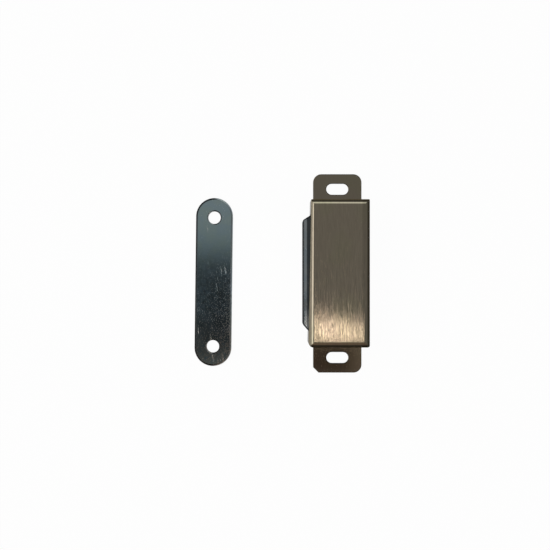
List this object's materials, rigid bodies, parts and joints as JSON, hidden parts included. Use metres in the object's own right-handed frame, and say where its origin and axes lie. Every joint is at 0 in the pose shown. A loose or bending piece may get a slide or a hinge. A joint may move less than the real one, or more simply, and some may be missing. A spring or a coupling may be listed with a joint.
{
  "type": "magnetic cabinet catch",
  "caption": "Magnetic cabinet catch: folded metal case with slotted screw ears, pole plates on a rocking magnet pack, and a loose round-ended strike plate.",
  "frame": {"origin": "midway between the two screw slots, on the plane the case is screwed down to", "axes": "+X along the case from ear to ear, +Y the way the poles face, +Z out of the screwing plane towards the top of the case"},
  "size_m": [0.0648, 0.0564, 0.0135],
  "materials": {
    "case_metal": "satin",
    "pole_steel": "satin",
    "strike_zinc": "satin",
    "ferrite": "matte",
    "holder_plastic": "satin"
  },
  "bodies": {
    "case_body": {"case": "case_metal", "magnet_holder": "holder_plastic", "strike_plate": "strike_zinc"},
    "magnet_pack": {"pole_plate_lower": "pole_steel", "pole_plate_upper": "pole_steel", "magnet": "ferrite"}
  },
  "joints": [
    {"name": "pack_rock", "type": "hinge", "parent": "case_body", "child": "magnet_pack", "pos_m": [0, -0.00685, 0.00635], "axis": [0, 0, 1], "range_deg": [-1.2, 1.2]}
  ]
}
